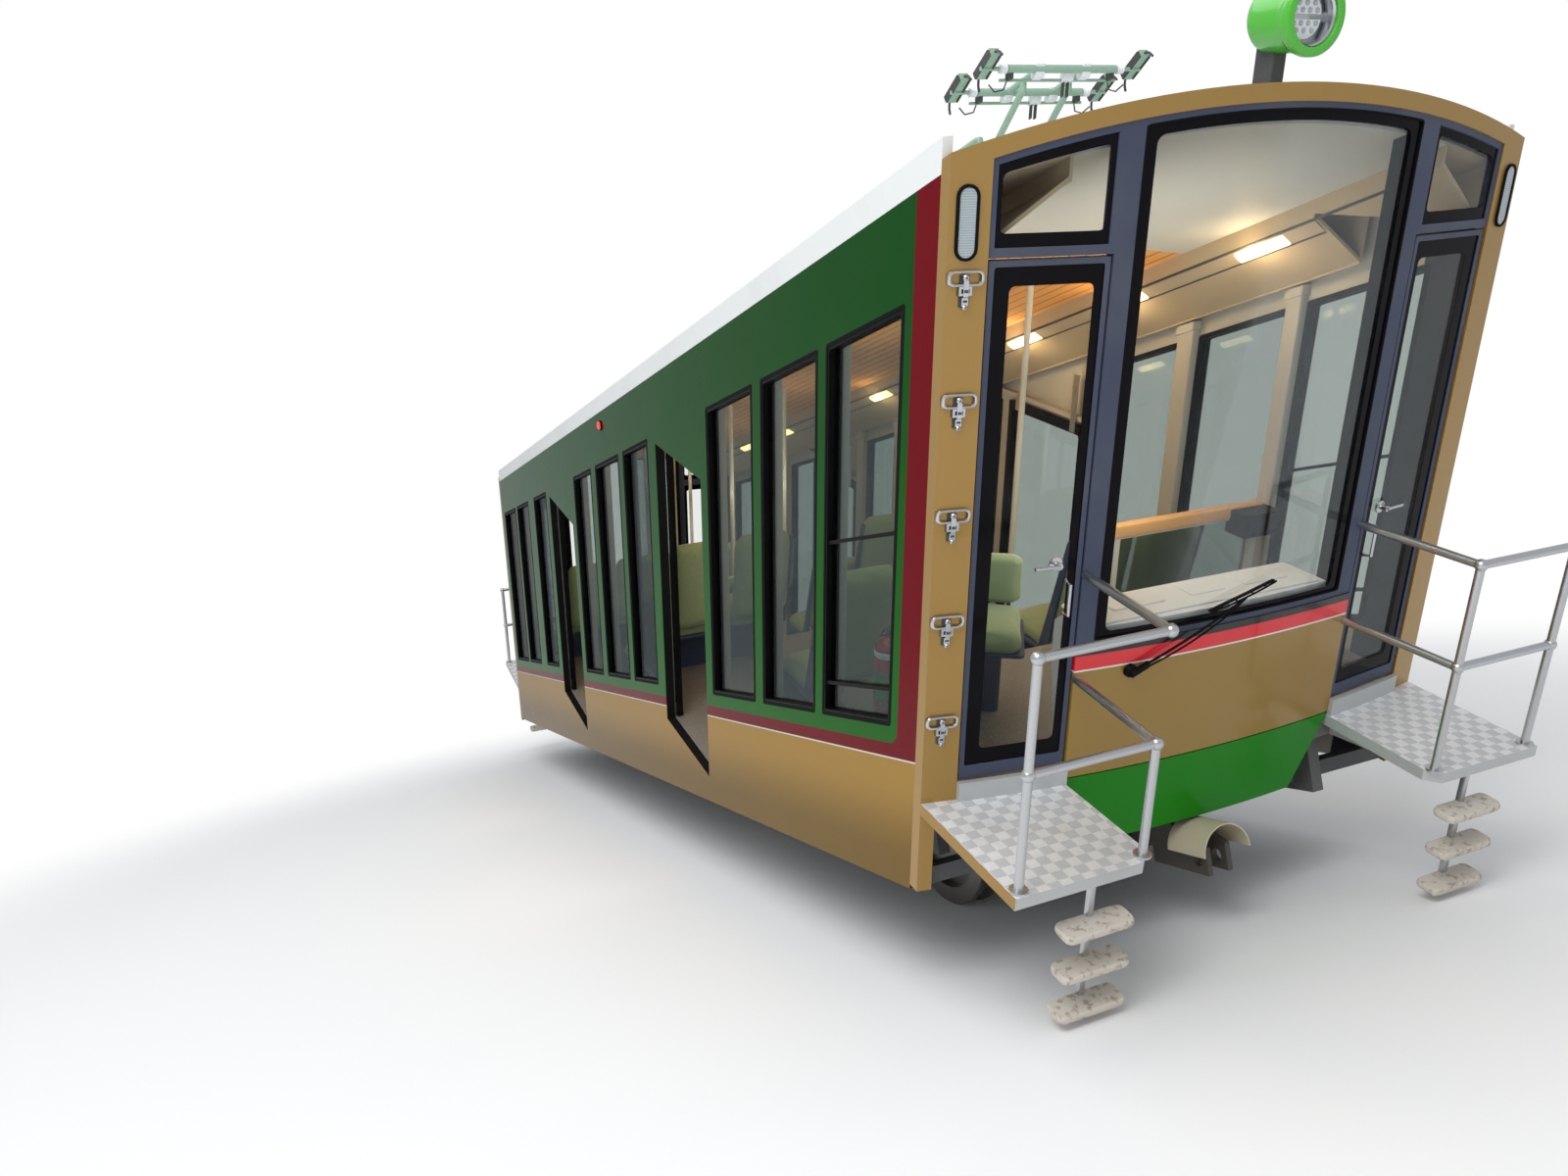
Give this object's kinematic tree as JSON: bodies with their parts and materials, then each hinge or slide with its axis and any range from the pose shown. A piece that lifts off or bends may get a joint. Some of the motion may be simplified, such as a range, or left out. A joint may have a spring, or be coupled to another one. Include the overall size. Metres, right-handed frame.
{
  "type": "funicular car",
  "caption": "Slanted rope-hauled railcar with a stepped cabin, bowed glazed ends, end decks with handrails, sliding side doors and a roof collector.",
  "frame": {"origin": "on the plane that the wheels stand on, midway between the axles and on the car's centre line", "axes": "+X uphill along the rails, +Y to the side away from the platform, +Z square to the rails; on the line +X climbs at 22.1 degrees, and the body's own upright leans from +Z towards +X by that angle"},
  "size_m": [11.5783, 2.648, 3.8245],
  "materials": {
    "roof_paint": "satin",
    "body_green": "gloss",
    "gold_paint": "satin metallic",
    "slate_paint": "satin",
    "skirt_green": "gloss",
    "apron_gold": "gloss",
    "lamp_green": "gloss",
    "underframe_grey": "satin",
    "cover_beige": "satin",
    "side_window": "tinted",
    "end_window": "clear",
    "deck_steel": "chequered",
    "rail_steel": "satin",
    "tread_steel": "weathered",
    "wheel_steel": "machined tread",
    "box_iron": "painted",
    "floor_cover": "matt",
    "ceiling_wood": "varnished slats",
    "lamp_diffuser": "lit diffuser",
    "marker_lens": "lens",
    "seat_fabric": "woven",
    "desk_white": "satin",
    "screen_wood": "varnished",
    "pole_beige": "satin",
    "red_paint": "gloss",
    "wiper_black": "matt",
    "collector_metal": "satin"
  },
  "bodies": {
    "car": {"underframe": "underframe_grey", "axle_boxes": "box_iron", "draw_gear": "box_iron", "rail_brake": "box_iron", "rope_cover": "cover_beige", "equipment_box": "underframe_grey", "floor": "floor_cover", "roof": "roof_paint", "ceiling": "ceiling_wood", "cabin_lamps": "lamp_diffuser", "seats": "seat_fabric", "attendant_seat": "seat_fabric", "partition": "screen_wood", "partition_glass": "end_window", "desks": "desk_white", "grab_poles": "pole_beige", "extinguisher": "red_paint", "headlamps": "lamp_green", "marker_lamps": "marker_lens", "draw_latches": "rail_steel", "wipers": "wiper_black", "deck_ladders": "tread_steel", "collector_base": "collector_metal", "side_wall_station": "body_green", "side_glass_station": "side_window", "side_wall_far": "body_green", "side_glass_far": "side_window", "end_ring_uphill": "gold_paint", "end_frame_uphill": "slate_paint", "apron_uphill": "apron_gold", "skirt_uphill": "skirt_green", "end_glass_uphill": "end_window", "decks_uphill": "deck_steel", "deck_rails_uphill": "rail_steel", "end_ring_downhill": "gold_paint", "end_frame_downhill": "slate_paint", "apron_downhill": "apron_gold", "skirt_downhill": "skirt_green", "end_glass_downhill": "end_window", "decks_downhill": "deck_steel", "deck_rails_downhill": "rail_steel"},
    "wheelset_uphill": {"wheelset_uphill": "wheel_steel"},
    "wheelset_downhill": {"wheelset_downhill": "wheel_steel"},
    "collector_arm": {"collector_arm": "collector_metal"},
    "end_door_uphill_left": {"end_door_uphill_left": "slate_paint"},
    "end_door_uphill_right": {"end_door_uphill_right": "slate_paint"},
    "end_door_downhill_left": {"end_door_downhill_left": "slate_paint"},
    "end_door_downhill_right": {"end_door_downhill_right": "slate_paint"},
    "side_door_station_upper": {"side_door_station_upper": "body_green"},
    "side_door_station_lower": {"side_door_station_lower": "body_green"},
    "side_door_far_upper": {"side_door_far_upper": "body_green"},
    "side_door_far_lower": {"side_door_far_lower": "body_green"}
  },
  "joints": [
    {"name": "axle_spin_uphill", "type": "hinge", "parent": "car", "child": "wheelset_uphill", "pos_m": [3.125, 0, 0.422], "axis": [0, 1, 0], "continuous": true},
    {"name": "axle_spin_downhill", "type": "hinge", "parent": "car", "child": "wheelset_downhill", "pos_m": [-3.125, 0, 0.422], "axis": [0, 1, 0], "continuous": true},
    {"name": "end_door_swing_uphill_left", "type": "hinge", "parent": "car", "child": "end_door_uphill_left", "pos_m": [4.73373, -1.14429, 1.81563], "axis": [0.3762, 0, 0.9265], "range_deg": [0, 80]},
    {"name": "end_door_swing_uphill_right", "type": "hinge", "parent": "car", "child": "end_door_uphill_right", "pos_m": [4.73373, 1.14429, 1.81563], "axis": [0.3762, 0, 0.9265], "range_deg": [-80, 0]},
    {"name": "end_door_swing_downhill_left", "type": "hinge", "parent": "car", "child": "end_door_downhill_left", "pos_m": [-4.58129, 1.14429, 1.80143], "axis": [0.3762, 0, 0.9265], "range_deg": [0, 80]},
    {"name": "end_door_swing_downhill_right", "type": "hinge", "parent": "car", "child": "end_door_downhill_right", "pos_m": [-4.58129, -1.14429, 1.80143], "axis": [0.3762, 0, 0.9265], "range_deg": [-80, 0]},
    {"name": "side_door_slide_station_upper", "type": "slide", "parent": "car", "child": "side_door_station_upper", "axis": [0.9265, 0, -0.3762], "range_m": [0, 0.79]},
    {"name": "side_door_slide_station_lower", "type": "slide", "parent": "car", "child": "side_door_station_lower", "axis": [0.9265, 0, -0.3762], "range_m": [0, 0.79]},
    {"name": "side_door_slide_far_upper", "type": "slide", "parent": "car", "child": "side_door_far_upper", "axis": [0.9265, 0, -0.3762], "range_m": [-0.79, 0]},
    {"name": "side_door_slide_far_lower", "type": "slide", "parent": "car", "child": "side_door_far_lower", "axis": [0.9265, 0, -0.3762], "range_m": [-0.79, 0]},
    {"name": "collector_swing", "type": "hinge", "parent": "car", "child": "collector_arm", "pos_m": [3.23807, 0, 3.30302], "axis": [0, 1, 0], "range_deg": [-20, 12]}
  ]
}
